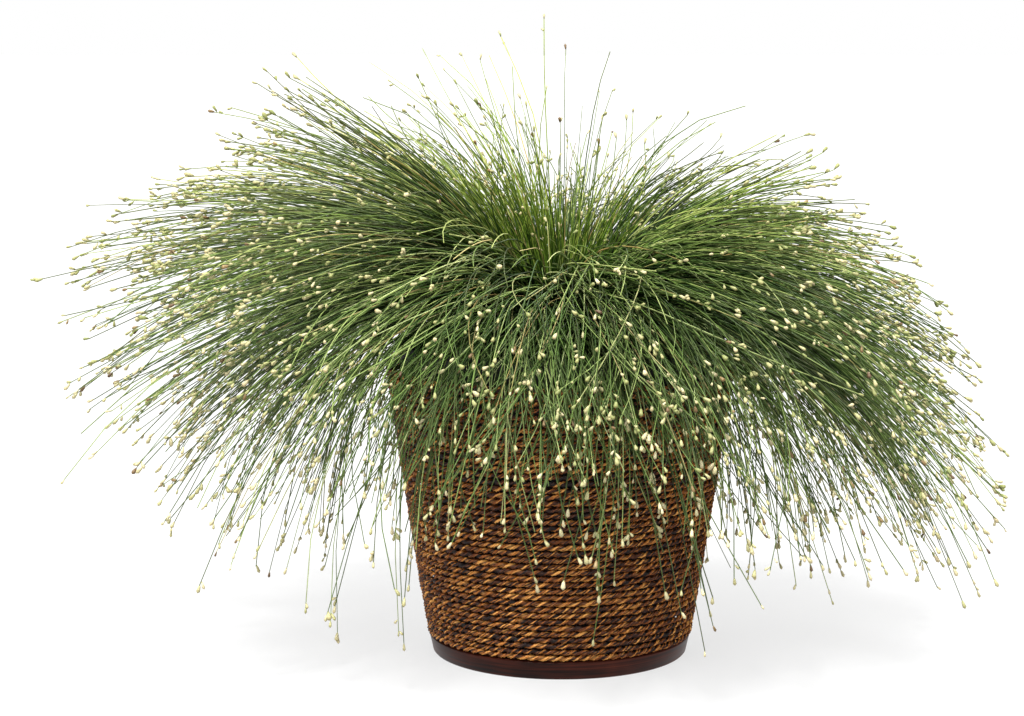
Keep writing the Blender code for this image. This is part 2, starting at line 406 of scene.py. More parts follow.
def add_mesh(name, points, faces, materials, material_index=None, attributes=None):
    """A smooth mesh, with its attributes given point by point."""
    mesh = bpy.data.meshes.new(name)
    faces = np.asarray(faces)
    mesh.vertices.add(len(points))
    mesh.vertices.foreach_set("co", np.asarray(points, np.float32).ravel())
    sides = faces.shape[1]
    mesh.loops.add(faces.size)
    mesh.loops.foreach_set("vertex_index", faces.ravel().astype(np.int32))
    mesh.polygons.add(len(faces))
    mesh.polygons.foreach_set("loop_start", np.arange(0, faces.size, sides, dtype=np.int32))
    mesh.update(calc_edges=True)
    for material in materials:
        mesh.materials.append(material)
    if material_index is not None:
        mesh.polygons.foreach_set("material_index", np.asarray(material_index, np.int32))
    mesh.polygons.foreach_set("use_smooth", np.full(len(faces), True))
    for key, values in (attributes or {}).items():
        values = np.asarray(values, np.float32)
        if values.ndim == 1:
            mesh.attributes.new(key, "FLOAT", "POINT").data.foreach_set("value", values)
        else:
            mesh.attributes.new(key, "FLOAT_VECTOR", "POINT").data.foreach_set("vector", values.ravel())
    mesh.validate()
    made = bpy.data.objects.new(name, mesh)
    bpy.context.scene.collection.objects.link(made)
    return made


def settle(piece, slot_name, *nodes):
    """The piece rides on the one body and stands for these solids; the slot name is not used."""
    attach(piece, "root")
    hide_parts(*nodes)


def round_angles(segments):
    return 2 * math.pi * np.arange(segments) / segments


def facing(azimuth, side):
    """How far a direction faces a side: 1 straight at it, 0 square to it or beyond."""
    across, along = math.cos(azimuth), math.sin(azimuth)
    return max(0.0, {"right": across, "left": -across, "back": along, "front": -along}[side])


# Arcs of the stems


def on_side(azimuth, sizes):
    """A size that is given for the four sides, at any azimuth."""
    across, along = np.cos(azimuth), np.sin(azimuth)
    side = np.where(across > 0, sizes["right"], sizes["left"])
    end = np.where(along > 0, sizes["back"], sizes["front"])
    return side * across**2 + end * along**2


def at_share(row, share):
    return np.interp(share, np.linspace(0, 1, len(row)), row)


def tips_at(azimuth, share, axis):
    """Radius (axis 0) or height (axis 1) of the tips."""
    by_side = {side: at_share([tip[axis] for tip in tips], share) for side, tips in TIPS.items()}
    return on_side(azimuth, by_side)


def towards(angle):
    return np.stack([np.cos(angle), np.sin(angle)], -1)


def fan_arcs(azimuth, share):
    """Control points (radius, height) of the fan's arcs at these azimuths and shares."""
    tip = np.stack([tips_at(azimuth, share, 0), tips_at(azimuth, share, 1)], -1)
    root = np.stack([at_share(ROOT_RADII, share), np.full_like(share, SOIL_TOP)], -1)
    rise = at_share(LAUNCH_LENGTHS, share) * (1 + (on_side(azimuth, LAUNCH_RISE) - 1) * share)
    first = root + rise[:, None] * towards(np.radians(at_share(LAUNCH_DEGREES, share)))
    droop = np.radians(at_share(DROOP_DEGREES, share))
    heading = np.arctan2(tip[:, 1] - BEND[1], tip[:, 0] - BEND[0]) - droop
    leg = at_share(LEG_SHARES, share) * np.linalg.norm(tip - first, axis=1)
    return np.stack([root, first, tip - leg[:, None] * towards(heading), tip], 1)


def upright_arcs(azimuth, share):
    """Control points of the arcs over the crown: share 0 is the outermost and 1 the innermost."""
    outer, inner = np.array(UPRIGHT_OUTER)[None], np.array(UPRIGHT_INNER)[None]
    arcs = outer + (inner - outer) * share[:, None, None]
    arcs[:, :, 1] = SOIL_TOP + on_side(azimuth, UPRIGHT_RISE)[:, None] * (arcs[:, :, 1] - SOIL_TOP)
    return arcs


def cut_arcs(arcs, place):
    """The first part of each arc, up to its own place, as control points."""
    t = place[:, None]
    p0, p1, p2, p3 = (arcs[:, i] for i in range(4))
    a, b, c = p0 + (p1 - p0) * t, p1 + (p2 - p1) * t, p2 + (p3 - p2) * t
    d, e = a + (b - a) * t, b + (c - b) * t
    return np.stack([p0, a, d, d + (e - d) * t], 1)


def bezier(controls, places):
    """Points and directions along cubic arcs: (arcs, places, axes)."""
    t = np.asarray(places)[None, :, None]
    p0, p1, p2, p3 = (controls[:, i][:, None] for i in range(4))
    points = (1 - t) ** 3 * p0 + 3 * (1 - t) ** 2 * t * p1 + 3 * (1 - t) * t**2 * p2 + t**3 * p3
    slopes = 3 * ((1 - t) ** 2 * (p1 - p0) + 2 * (1 - t) * t * (p2 - p1) + t**2 * (p3 - p2))
    slopes /= np.maximum(np.linalg.norm(slopes, axis=-1, keepdims=True), TINY)
    return points, slopes


def basket_radius(height):
    share = (height - BAND_HEIGHT) / (BASKET_HEIGHT - BAND_HEIGHT)
    straight = ROPE_FOOT_RADIUS + (ROPE_RIM_RADIUS - ROPE_FOOT_RADIUS) * share
    return straight + 4 * ROPE_BULGE * share * (1 - share)


def clear_of_pot(controls):
    """Moves arcs that cut through the pot's wall up and outward, and leaves out those that still do."""
    controls = controls.copy()
    rim_top = LINER_HEIGHT + LINER_LIP_HEIGHT + ROOM_OVER_RIM
    lip = LINER_RIM_RADIUS + LINER_LIP + ROOM_OUTSIDE_LIP
    places = np.linspace(0, 1, ARC_CHECKS)
    for _ in range(CLEARING_TRIES):
        points, _slopes = bezier(controls, places)
        radius = np.hypot(points[..., 0], points[..., 1])
        height = points[..., 2]
        outside = np.where(height > BASKET_HEIGHT, lip, basket_radius(height) + ROOM_OUTSIDE_ROPE)
        in_wall = (radius > LINER_RIM_RADIUS - ROOM_INSIDE_RIM) & (radius < outside)
        cutting = ((height < rim_top) & in_wall).any(1)
        if not cutting.any():
            break
        controls[cutting, 1:3, 2] += CLEARING_RISE
        controls[cutting, 2, :2] *= CLEARING_SPREAD
        controls[cutting, 3, :2] *= CLEARING_TIP_SPREAD
    return controls[~cutting], ~cutting


def stem_tones(azimuth, in_bunch, bunch_tone):
    """Most stems are dark or light and few are between, and those in a bunch share its tone."""
    tone = draws.uniform(0.0, 1.0, len(in_bunch))
    contrast = np.sign(tone - MIDDLE_TONE) * np.abs(tone / MIDDLE_TONE - 1) ** TONE_CONTRAST
    spread = np.clip(MIDDLE_TONE + MIDDLE_TONE * contrast, 0.0, GREEN_TONES)
    # Painted shade: stems facing the front are made darker.
    spread = np.maximum(spread - PAINTED_SHADE_IN_FRONT * facing(azimuth, "front"), 0.0)
    tone = np.where(tone < GREEN_TONES, spread, tone)
    start, span = TONES_IN_BUNCH
    bunched = np.clip(tone * span + start + bunch_tone, 0.0, GREEN_TONES)
    return np.where(in_bunch & (tone < GREEN_TONES), bunched, tone)


def upright_places(layer, azimuth, stem_azimuth, share):
    """Where upright stems end on their arcs, their azimuths and their shares."""
    count = len(share)
    share = share ** (OUTWARD_POWER + OUTWARD_POWER_RIGHT * math.cos(azimuth))
    shortest = layer.short_stem + (TALLER + TALLER_LEFT * facing(azimuth, "left"))
    place = shortest + (LONGEST_UPRIGHT - layer.short_stem) * draws.beta(*LENGTH_CURVE, count)
    tall = draws.random(count) < TALL_SHARE + TALL_SHARE_RIGHT * math.cos(azimuth)
    place = np.where(tall, draws.uniform(*TALL_LENGTHS, count), place)
    share = np.where(tall, draws.uniform(0.0, 1.0, count), share)
    stem_azimuth = np.where(tall, stem_azimuth + draws.normal(0, TALL_LEAN, count), stem_azimuth)
    return place, stem_azimuth, share


def fan_places(layer, azimuth, in_bunch, bunch_length):
    """Where the fan's stems end on their arcs. Most are long, and a bunch ends together."""
    count = len(in_bunch)
    full_length = draws.random(count) < LONG_SHARE + LONG_SHARE_IN_FRONT * facing(azimuth, "front")
    long_places = draws.uniform(*LONG_LENGTHS, count)
    short_places = draws.uniform(layer.short_stem, LONGEST_SHORT, count)
    place = np.where(full_length, long_places, short_places)
    bunched = bunch_length * draws.uniform(*LENGTHS_IN_BUNCH, count)
    place = np.where(in_bunch & full_length, bunched, place)
    if layer in HANGING:
        longest = draws.random(count) < LONGEST_SHARE[layer.name]
        place = np.where(longest, draws.uniform(*LONGEST_LENGTHS, count), place)
    return place


def lifted(arcs, layer, place):
    """Short stems carry less weight, so their tips point higher."""
    leg = arcs[:, 3] - arcs[:, 2]
    stray = draws.normal(0, LIFT_STRAY, len(arcs))
    lift = math.radians(layer.lift) * np.clip(1 - place, 0, 1) + stray
    turned_leg = np.stack(
        [
            leg[:, 0] * np.cos(lift) - leg[:, 1] * np.sin(lift),
            leg[:, 0] * np.sin(lift) + leg[:, 1] * np.cos(lift),
        ],
        -1,
    )
    arcs[:, 2] = arcs[:, 3] - turned_leg
    return arcs


def bent_down(arcs, azimuth, tone):
    """A few short pale stems over the crown bend down sharply."""
    bent = draws.random(len(arcs)) < BENT_SHARE + BENT_SHARE_IN_FRONT * facing(azimuth, "front")
    count = bent.sum()
    arcs[bent] = cut_arcs(arcs[bent], draws.uniform(*BENT_LENGTHS, count))
    arcs[bent, 3, 1] -= draws.uniform(*BENT_DROPS, count)
    arcs[bent, 2, 0] = arcs[bent, 3, 0] * draws.uniform(*KNEE_RADII, count)
    arcs[bent, 2, 1] = arcs[bent, 3, 1] + draws.uniform(*KNEE_HEIGHTS, count)
    return arcs, np.where(bent, draws.uniform(*BENT_TONES, len(arcs)), tone)


def in_space(arcs, azimuth, stem_azimuth, looseness):
    """Stems root all over the clump and stray from their planes, in front more than to the sides."""
    count = len(arcs)
    front = facing(azimuth, "front")

    # A few stray stems lie across the others.
    astray = draws.random(count) < ASTRAY_SHARE
    tip_turn = np.where(astray, draws.normal(0, ASTRAY_TURN, count), 0.0)
    stray = 1 + STRAY_IN_FRONT * front
    root_turn = draws.normal(0, ROOT_TURN, count)
    azimuths = np.stack(
        [
            stem_azimuth + root_turn,
            stem_azimuth + root_turn * ROOT_TURN_KEPT + draws.normal(0, TURN_STRAY[0], count),
            stem_azimuth + draws.normal(0, TURN_STRAY[1] * stray, count),
            stem_azimuth + draws.normal(0, TURN_STRAY[2] * stray, count) + tip_turn,
        ],
        1,
    )
    radius_stray = np.array(RADIUS_STRAY) * np.array((1.0, 1.0, looseness, looseness))
    radii = np.abs(arcs[..., 0] + draws.normal(0, 1, arcs[..., 0].shape) * radius_stray)
    heights = arcs[..., 1] + draws.normal(0, 1, arcs[..., 1].shape) * np.array(HEIGHT_STRAY)
    heights[:, 0] = SOIL_TOP - ROOT_DEPTH
    controls = np.stack([radii * np.cos(azimuths), radii * np.sin(azimuths), heights], -1)
    lowest = LOWEST_TIP + LOWEST_TIP_IN_FRONT * front**2
    controls[:, 3, 2] = np.maximum(controls[:, 3, 2], lowest)
    low, high = np.array(cad_box)
    return np.clip(controls, low - REACH_PAST_SOLIDS, high + REACH_PAST_SOLIDS)


def stem_controls(layer, arc_of, azimuth, length, count):
    """Control points in space for one tuft: single stems, and small bunches that lie together."""
    upright = layer is UPRIGHT
    half_width = layer.fullness * math.pi / layer.count
    middle = (layer.from_share + layer.to_share) / 2
    half_span = (layer.to_share - layer.from_share) / 2
    bunches = max(FEWEST_BUNCHES, count // STEMS_PER_BUNCH)
    bunch_across = draws.uniform(*BUNCH_ROOM, bunches)
    bunch_up = draws.uniform(*BUNCH_ROOM, bunches)
    bunch_length = draws.uniform(*BUNCH_LENGTHS, bunches)
    chosen = draws.integers(0, bunches, count)
    bunch_tone = draws.uniform(*BUNCH_TONES, bunches)
    in_bunch = draws.random(count) < (BUNCHED_SHARE_UPRIGHT if upright else BUNCHED_SHARE)
    tone = stem_tones(azimuth, in_bunch, bunch_tone[chosen])

    bunched = bunch_across[chosen] + draws.normal(0, BUNCH_WIDTH, count)
    across = np.where(in_bunch, bunched, draws.uniform(*SINGLE_ROOM, count))
    bunched = bunch_up[chosen] + draws.normal(0, BUNCH_DEPTH, count)
    up = np.where(in_bunch, bunched, draws.uniform(*SINGLE_ROOM, count))
    stem_azimuth = azimuth + half_width * across
    share = np.clip(middle + half_span * up, 0.0, 1.0)
    if upright:
        place, stem_azimuth, share = upright_places(layer, azimuth, stem_azimuth, share)
    else:
        place = fan_places(layer, azimuth, in_bunch, bunch_length[chosen])

    arcs = lifted(cut_arcs(arc_of(stem_azimuth, share), place * length), layer, place)
    if layer in (ARCHING, SPREADING):
        arcs, tone = bent_down(arcs, azimuth, tone)
    looseness = LOOSENESS_UPRIGHT if upright else 1.0
    controls, kept = clear_of_pot(in_space(arcs, azimuth, stem_azimuth, looseness))
    return controls, tone[kept]


# Stems and seed heads


def stem_triangles(rings):
    """Triangles of one stem: its sides, its point and its foot."""
    triangles = []
    for r in range(rings - 1):
        for s in range(STEM_SIDES):
            a, b = r * STEM_SIDES + s, r * STEM_SIDES + (s + 1) % STEM_SIDES
            c, d = b + STEM_SIDES, a + STEM_SIDES
            triangles += [(a, b, c), (a, c, d)]
    last = (rings - 1) * STEM_SIDES
    for s in range(STEM_SIDES):
        triangles.append((last + s, last + (s + 1) % STEM_SIDES, last + STEM_SIDES))
    return np.array([*triangles, (0, 2, 1)])


def repeated(triangles, count, points_each):
    """The triangles of one shape, once for each of its copies."""
    starts = np.arange(count)[:, None, None] * points_each
    return (triangles[None] + starts).reshape(-1, 3)


def stem_tubes(controls, rings, thickness):
    """Tapered closed tubes: points, triangles, places along, points in one, tips and their directions."""
    count = len(controls)
    places = np.linspace(0, 1, rings)
    points, slopes = bezier(controls, places)
    plane = controls[:, 3] - controls[:, 0]
    side = np.stack([-plane[:, 1], plane[:, 0], np.full(count, 1e-4)], -1)
    side = np.broadcast_to(side[:, None], points.shape)
    side = side - (side * slopes).sum(-1, keepdims=True) * slopes
    side = side / np.maximum(np.linalg.norm(side, axis=-1, keepdims=True), TINY)
    normal = np.cross(slopes, side)

    # Each stem waves a little, most at its tip.
    length = np.linalg.norm(np.diff(points, axis=1), axis=-1).sum(1)
    for direction in (side, normal):
        waves = length / draws.uniform(*WAVE_LENGTHS, count)
        phase = draws.uniform(0, 2 * math.pi, count)
        height = draws.uniform(*WAVE_HEIGHTS, count)
        turn = 2 * math.pi * waves[:, None] * places[None] + phase[:, None]
        swing = height[:, None] * np.sin(turn) * places[None]
        points = points + swing[..., None] * direction

    taper = ROOT_RADIUS + (TIP_RADIUS - ROOT_RADIUS) * places**TAPER_POWER
    radius = taper[None, :, None] * thickness[:, None, None]
    angles = round_angles(STEM_SIDES)[None, None, :, None]
    outward = np.cos(angles) * side[:, :, None] + np.sin(angles) * normal[:, :, None]
    ring = points[:, :, None] + radius[:, :, None] * outward
    tip = points[:, -1] + slopes[:, -1] * STEM_POINT
    stem_points = np.concatenate([ring.reshape(count, -1, 3), tip[:, None]], 1)
    per_stem = stem_points.shape[1]
    along = np.concatenate([np.repeat(places, STEM_SIDES), [1.0]])
    return (
        stem_points.reshape(-1, 3),
        repeated(stem_triangles(rings), count, per_stem),
        np.tile(along, count),
        per_stem,
        points[:, -1],
        slopes[:, -1],
    )


def head_template():
    """One seed head, base at the origin and tip at +Z, one long and one in radius at its widest."""
    points = [(0.0, 0.0, 0.0)]
    for index, (height, width) in enumerate(HEAD_RINGS):
        for s in range(HEAD_SIDES):
            angle = 2 * math.pi * (s + 0.5 * index) / HEAD_SIDES
            points.append((width * math.cos(angle), width * math.sin(angle), height))
    points.append((0.0, 0.0, 1.0))
    lower = [1 + s for s in range(HEAD_SIDES)]
    upper = [1 + HEAD_SIDES + s for s in range(HEAD_SIDES)]
    following = [(s + 1) % HEAD_SIDES for s in range(HEAD_SIDES)]
    triangles = [(0, lower[f], lower[s]) for s, f in enumerate(following)]
    for s, f in enumerate(following):
        triangles += [(lower[s], lower[f], upper[s]), (lower[f], upper[f], upper[s])]
    triangles += [(upper[s], upper[f], len(points) - 1) for s, f in enumerate(following)]
    return np.array(points), np.array(triangles)


def seed_heads(places, directions, sizes):
    """Heads at these places: points, triangles, places along the head and points of a head."""
    template, triangles = head_template()
    count = len(places)
    forward = directions / np.linalg.norm(directions, axis=1, keepdims=True)
    helper = np.where(np.abs(forward[:, 2:3]) < 0.9, [[0.0, 0.0, 1.0]], [[1.0, 0.0, 0.0]])
    side = np.cross(helper, forward)
    side /= np.linalg.norm(side, axis=1, keepdims=True)
    other = np.cross(forward, side)
    length = HEAD_LENGTH * sizes
    radius = HEAD_RADIUS * sizes * draws.uniform(*HEAD_FATNESS, count)
    points = (
        places[:, None]
        + template[None, :, 0:1] * (radius[:, None] * side)[:, None]
        + template[None, :, 1:2] * (radius[:, None] * other)[:, None]
        + template[None, :, 2:3] * (length[:, None] * forward)[:, None]
    )
    faces = repeated(triangles, count, len(template))
    return points.reshape(-1, 3), faces, np.tile(template[:, 2], count), len(template)


def tilted(directions, most):
    """Directions turned by a random angle of up to most radians."""
    sideways = draws.normal(0, 1, directions.shape)
    sideways -= (sideways * directions).sum(1, keepdims=True) * directions
    sideways /= np.linalg.norm(sideways, axis=1, keepdims=True)
    angle = draws.uniform(0, most, (len(directions), 1))
    return directions * np.cos(angle) + sideways * np.sin(angle)


def flowering(layer, azimuth, tips):
    """The share of stems that flower: fewer near the crown, and fewer halfway down in front."""
    if layer is UPRIGHT:
        return FLOWERING_UPRIGHT
    if layer in HANGING:
        halfway = np.clip((tips[:, 2] - HALFWAY_FROM) / HALFWAY_SPAN, 0.0, 1.0)
        return 1.0 - facing(azimuth, "front") * (FEWER_IN_FRONT + FEWER_HALFWAY * halfway)
    reach = np.hypot(tips[:, 0], tips[:, 1])
    return np.clip((reach - FLOWERING_FROM_RADIUS) / FLOWERING_SPAN, FLOWERING_LEAST, 1.0)


def tuft_heads(layer, azimuth, tips, slopes):
    """Seed heads of one tuft: one at the tip of a flowering stem, and on some up to two more below it."""
    upright = layer is UPRIGHT
    spacing = CLUSTER_SPACING + CLUSTER_SPACING_IN_FRONT * facing(azimuth, "front")
    clusters = draws.random(len(tips)) * (spacing + (CLUSTER_SPACING_UPRIGHT if upright else 0.0))
    flowers = draws.random(len(tips)) < flowering(layer, azimuth, tips)
    owners = [np.flatnonzero(flowers)]
    owners += [np.flatnonzero(flowers & (clusters < limit)) for limit in CLUSTER_DRAWS]
    leaning = np.repeat(HEAD_LEANS, [len(part) for part in owners])
    owner = np.concatenate(owners)
    count = len(owner)
    directions = slopes[owner]
    directions = directions + (tilted(directions, MOST_LEAN) - directions) * leaning[:, None]
    first_depths = draws.uniform(*FIRST_HEAD_DEPTHS, count)
    next_depths = draws.uniform(*NEXT_HEAD_DEPTHS, count)
    down = np.where(np.arange(count) < len(owners[0]), first_depths, next_depths)
    bases = tips[owner] - slopes[owner] * down[:, None]
    sizes = draws.uniform(*HEAD_SIZES, count) * (HEAD_SIZE_UPRIGHT if upright else 1.0)
    points, faces, along, per_head = seed_heads(bases, directions, sizes)
    tone = draws.random(count)
    start, span = HANGING_HEAD_TONES if layer in HANGING else UPPER_HEAD_TONES
    tone = np.where(tone < PALE_TONES, start + span * tone, tone)
    return points, faces, along, np.repeat(tone, per_head)


def stems_at(layer, azimuth):
    """The clump grows fuller to both sides than to the front, and fuller over the crown to the left."""
    everywhere, by_side = STEM_SHARES[layer.name]
    power = 1 if layer is UPRIGHT else 2
    added = sum(more * facing(azimuth, side) ** power for side, more in by_side.items())
    return round(layer.stems * (everywhere + added))


def make_tuft(layer, arc_of, index, length, finishes, slot_name):
    azimuth = 2 * math.pi / layer.count * (index + layer.turn)
    count = stems_at(layer, azimuth)
    controls, stem_tone = stem_controls(layer, arc_of, azimuth, length, count)
    thinner = THICKNESS_UPRIGHT if layer is UPRIGHT else 1.0
    thickness = draws.uniform(*THICKNESSES, len(controls)) * thinner
    points, faces, along, per_stem, tips, slopes = stem_tubes(controls, layer.rings, thickness)
    head_points, head_faces, head_along, head_tone = tuft_heads(layer, azimuth, tips, slopes)
    piece = add_mesh(
        f"stems_{layer.name}_{index + 1:02d}",
        np.concatenate([points, head_points]),
        np.concatenate([faces, head_faces + len(points)]),
        finishes,
        np.concatenate([np.zeros(len(faces)), np.ones(len(head_faces))]),
        attributes={
            "tone": np.concatenate([np.repeat(stem_tone, per_stem), head_tone]),
            "along": np.concatenate([along, head_along]),
        },
    )
    settle(piece, slot_name, f"{layer.name}_tuft_{index + 1:02d}")


def make_plant(stem_finish, backlit_finish, head_finish):
    lengths = random.Random(TUFT_LENGTH_SEED)
    for layer in (UPRIGHT, ARCHING, SPREADING, DROOPING, TRAILING):
        if layer is UPRIGHT:
            arc_of, finishes, slot_name = upright_arcs, [backlit_finish, head_finish], "light_stems"
        else:
            arc_of, finishes, slot_name = fan_arcs, [stem_finish, head_finish], "stems"
        for index in range(layer.count):
            length = lengths.uniform(layer.shortest, 1.0)
            make_tuft(layer, arc_of, index, length, finishes, slot_name)


# Basket


def rope_way():
    """Turns, radius, height and run of the rope's centre, step by step."""
    bottom = BAND_HEIGHT + GAP
    pitch = (BASKET_HEIGHT - bottom) / ROPE_COURSES
    step = ROPE_TURN_LENGTH / ROPE_STEPS_PER_TURN
    run = 0.0
    centres = []
    turn = -STEP_SHARE
    while turn < ROPE_COURSES:
        course = math.floor(turn) if turn > 0 else 0
        within = turn - course if turn > 0 else 0.0
        stepping = (within - (1 - STEP_SHARE)) / STEP_SHARE
        rise = np.clip(stepping, 0, 1) if course < ROPE_COURSES - 1 else 0.0
        rise = rise * rise * (3 - 2 * rise)
        height = bottom + pitch * (course + 0.5 + rise)
        radius = basket_radius(height) - ROPE_RADIUS
        centres.append((turn, radius, height, run))
        run += step
        turn += step / (2 * math.pi * radius)
    return np.array(centres).T


def stray_along(run, spacing, margin):
    """A random value along the rope that changes smoothly from knot to knot."""
    knots = np.arange(0, run[-1] + margin, spacing)
    return np.interp(run, knots, draws.normal(0, 1, len(knots)))


def tube_triangles(rows, sides):
    """Triangles of a closed tube with this many rows of points."""
    grid = np.arange(rows * sides).reshape(rows, sides)
    a, b = grid[:-1], np.roll(grid[:-1], -1, 1)
    c, d = np.roll(grid[1:], -1, 1), grid[1:]
    quads = np.stack([a, d, c, b], -1).reshape(-1, 4)
    caps = []
    for ring, flip in ((grid[0], False), (grid[-1], True)):
        for s in range(1, sides - 1):
            fan = (ring[0], ring[s], ring[s + 1])
            caps.append(fan[::-1] if flip else fan)
    return np.concatenate([quads[:, [0, 1, 2]], quads[:, [0, 2, 3]], np.array(caps)])


def make_rope(finish):
    """One two-ply rope laid round and round, stepping up one course at the back on each round."""
    turn, radius, height, run = rope_way()
    angle = 2 * math.pi * turn + math.pi / 2
    wobble = stray_along(run, *WOBBLE_KNOTS)
    radius = radius + wobble * WOBBLE_RADIUS
    height = height + np.roll(wobble, HEIGHT_SHIFT) * WOBBLE_HEIGHT
    bottom = BAND_HEIGHT + GAP
    rising = (height - bottom) / (BASKET_HEIGHT - bottom)
    height = height + COURSE_SAG * 4 * rising * (1 - rising) * np.sin(angle + SAG_TURN)
    thickness = ROPE_RADIUS * (1 + WOBBLE_THICKNESS * np.roll(wobble, THICKNESS_SHIFT))
    first_end = (turn + STEP_SHARE) / STEP_SHARE
    last_end = (ROPE_COURSES - turn) / (STEP_SHARE * LAST_END_SHARE)
    thickness = thickness * np.clip(np.minimum(first_end, last_end), THINNEST_END, 1.0)

    twist_speed = 1 + TWIST_STRAY * stray_along(run, *TWIST_KNOTS)
    twist = np.cumsum(twist_speed) * 2 * math.pi / ROPE_STEPS_PER_TURN
    profile = np.array(ROPE_PROFILE)
    sides = len(profile)
    local = round_angles(sides)
    section = twist[:, None] + local[None]
    out = thickness[:, None] * profile[None] * np.cos(section)
    up = thickness[:, None] * profile[None] * np.sin(section)
    points = np.stack(
        [
            (radius[:, None] + out) * np.cos(angle)[:, None],
            (radius[:, None] + out) * np.sin(angle)[:, None],
            height[:, None] + up,
        ],
        -1,
    )
    # How far out each point of the section lies, for the painted shade in the grooves
    crest = (profile - profile.min()) / (profile.max() - profile.min())
    rope_place = (run[:, None], np.cos(local)[None], np.sin(local)[None])
    place = np.stack([np.broadcast_to(axis, section.shape) for axis in rope_place], -1)
    crest = np.broadcast_to(crest[None], section.shape)

    for index in range(ROPE_PIECES):
        first = index * (len(run) - 1) // ROPE_PIECES
        last = (index + 1) * (len(run) - 1) // ROPE_PIECES
        part = slice(first, last + 1)
        piece = add_mesh(
            f"rope_courses_{index + 1}",
            points[part].reshape(-1, 3),
            tube_triangles(last - first + 1, sides),
            [finish],
            attributes={"rope_place": place[part].reshape(-1, 3), "crest": crest[part].ravel()},
        )
        settle(piece, "rope", "rope_wall")


def add_turned(name, radii, heights, segments, finish, centres=None):
    """Rings round Z, up the outer side. Centres close both ends, or else it joins its first ring."""
    angles = round_angles(segments)
    rows = len(radii)
    radii = np.array(radii)[:, None]
    rings = [radii * np.cos(angles), radii * np.sin(angles), np.broadcast_to(heights, (rows, segments))]
    points = np.stack(rings, -1).reshape(-1, 3)
    grid = np.arange(rows * segments).reshape(rows, segments)
    following = np.arange(1, rows) if centres else np.roll(np.arange(rows), -1)
    faces = []
    for lower, upper in zip(range(rows), following):
        a, b = grid[lower], np.roll(grid[lower], -1)
        c, d = np.roll(grid[upper], -1), grid[upper]
        faces += [np.stack([a, b, c], -1), np.stack([a, c, d], -1)]
    if centres:
        low, high = len(points), len(points) + 1
        points = np.concatenate([points, [[0, 0, height] for height in centres]])
        faces.append(np.stack([np.roll(grid[0], -1), grid[0], np.full(segments, low)], -1))
        faces.append(np.stack([grid[-1], np.roll(grid[-1], -1), np.full(segments, high)], -1))
    return add_mesh(name, points, np.concatenate(faces), [finish])


def add_profile(name, profile, finish, centres=None):
    """A profile of (radius, height) turned round Z, with sharp edges."""
    radii, heights = np.array(profile).T
    piece = add_turned(name, radii, heights[:, None], TURNED_SEGMENTS, finish, centres)
    piece.data.set_sharp_from_angle(angle=SHARP_EDGE)
    return piece


def make_band(finish):
    profile = [
        (BAND_FOOT_RADIUS - SOFT_EDGE, 0.0),
        (BAND_FOOT_RADIUS, SOFT_EDGE),
        (BAND_TOP_RADIUS, BAND_HEIGHT - SOFT_EDGE),
        (BAND_TOP_RADIUS - SOFT_EDGE, BAND_HEIGHT),
        (BAND_TOP_RADIUS - BAND_THICKNESS, BAND_HEIGHT),
        (BAND_FOOT_RADIUS - BAND_THICKNESS, 0.0),
    ]
    settle(add_profile("wood_band", profile, finish), "wood", "foot_band")


def liner_radius(height):
    foot = PANEL_THICKNESS + GAP
    share = (height - foot) / (LINER_HEIGHT - foot)
    return LINER_FOOT_RADIUS + (LINER_RIM_RADIUS - LINER_FOOT_RADIUS) * share


def make_liner(finish):
    foot = PANEL_THICKNESS + GAP
    top = LINER_HEIGHT + LINER_LIP_HEIGHT
    lip = LINER_RIM_RADIUS + LINER_LIP
    floor = foot + LINER_WALL
    profile = [
        (liner_radius(foot), foot),
        (LINER_RIM_RADIUS, LINER_HEIGHT),
        (lip - SOFT_EDGE, LINER_HEIGHT),
        (lip, LINER_HEIGHT + SOFT_EDGE),
        (lip, top - SOFT_EDGE),
        (lip - SOFT_EDGE, top),
        (liner_radius(top) - LINER_WALL + SOFT_EDGE, top),
        (liner_radius(top) - LINER_WALL, top - SOFT_EDGE),
        (liner_radius(floor) - LINER_WALL, floor),
    ]
    settle(add_profile("plastic_pot", profile, finish, (foot, floor)), "plastic", "liner_pot")


def make_soil(finish):
    """Crumbly potting soil, with an uneven top."""
    bottom = PANEL_THICKNESS + GAP + LINER_WALL + GAP
    clearance = LINER_WALL + GAP
    top_radius = liner_radius(SOIL_TOP) - clearance
    radii = [liner_radius(bottom) - clearance, *(top_radius * (1 - np.arange(SOIL_RINGS) / SOIL_RINGS))]
    lumps = np.clip(draws.normal(0, SOIL_ROUGHNESS, (SOIL_RINGS, SOIL_SEGMENTS)), *SOIL_LUMPS)
    heights = SOIL_TOP - SOIL_SINK + lumps
    heights[0] = SOIL_TOP
    heights = np.concatenate([np.full((1, SOIL_SEGMENTS), bottom), heights])
    piece = add_turned("potting_mix", radii, heights, SOIL_SEGMENTS, finish, (bottom, SOIL_TOP))
    settle(piece, "soil", "soil")


# Materials


